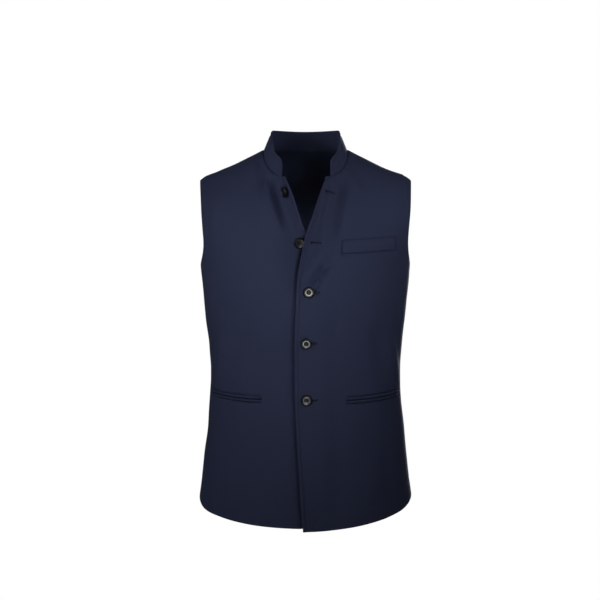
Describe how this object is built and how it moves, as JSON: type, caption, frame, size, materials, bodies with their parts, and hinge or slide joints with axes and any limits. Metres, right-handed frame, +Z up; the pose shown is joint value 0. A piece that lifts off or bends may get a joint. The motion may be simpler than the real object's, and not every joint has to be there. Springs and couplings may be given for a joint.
{
  "type": "nehru jacket, sleeveless, worn",
  "caption": "Sleeveless Nehru jacket in its hollow worn shape: stand collar, front lapped left over right with its top undone, breast welt, jetted pockets.",
  "frame": {"origin": "middle of the neck, 3 mm above the two neck points where the shoulder seams meet the collar", "axes": "+Z up along the wearer's back, -Y to the front, +X to the wearer's left"},
  "size_m": [0.4096, 0.2615, 0.7588],
  "materials": {
    "navy_wool": "matt, fine smooth suiting wool",
    "dark_horn": "polished dark horn"
  },
  "bodies": {
    "root": {"front_left": "navy_wool", "front_right": "navy_wool", "back": "navy_wool", "collar": "navy_wool", "chest_welt": "navy_wool", "pocket_left_upper_jet": "navy_wool", "pocket_left_lower_jet": "navy_wool", "pocket_right_upper_jet": "navy_wool", "pocket_right_lower_jet": "navy_wool", "button_1": "dark_horn", "button_2": "dark_horn", "button_3": "dark_horn", "button_4": "dark_horn", "button_5": "dark_horn"}
  },
  "joints": []
}
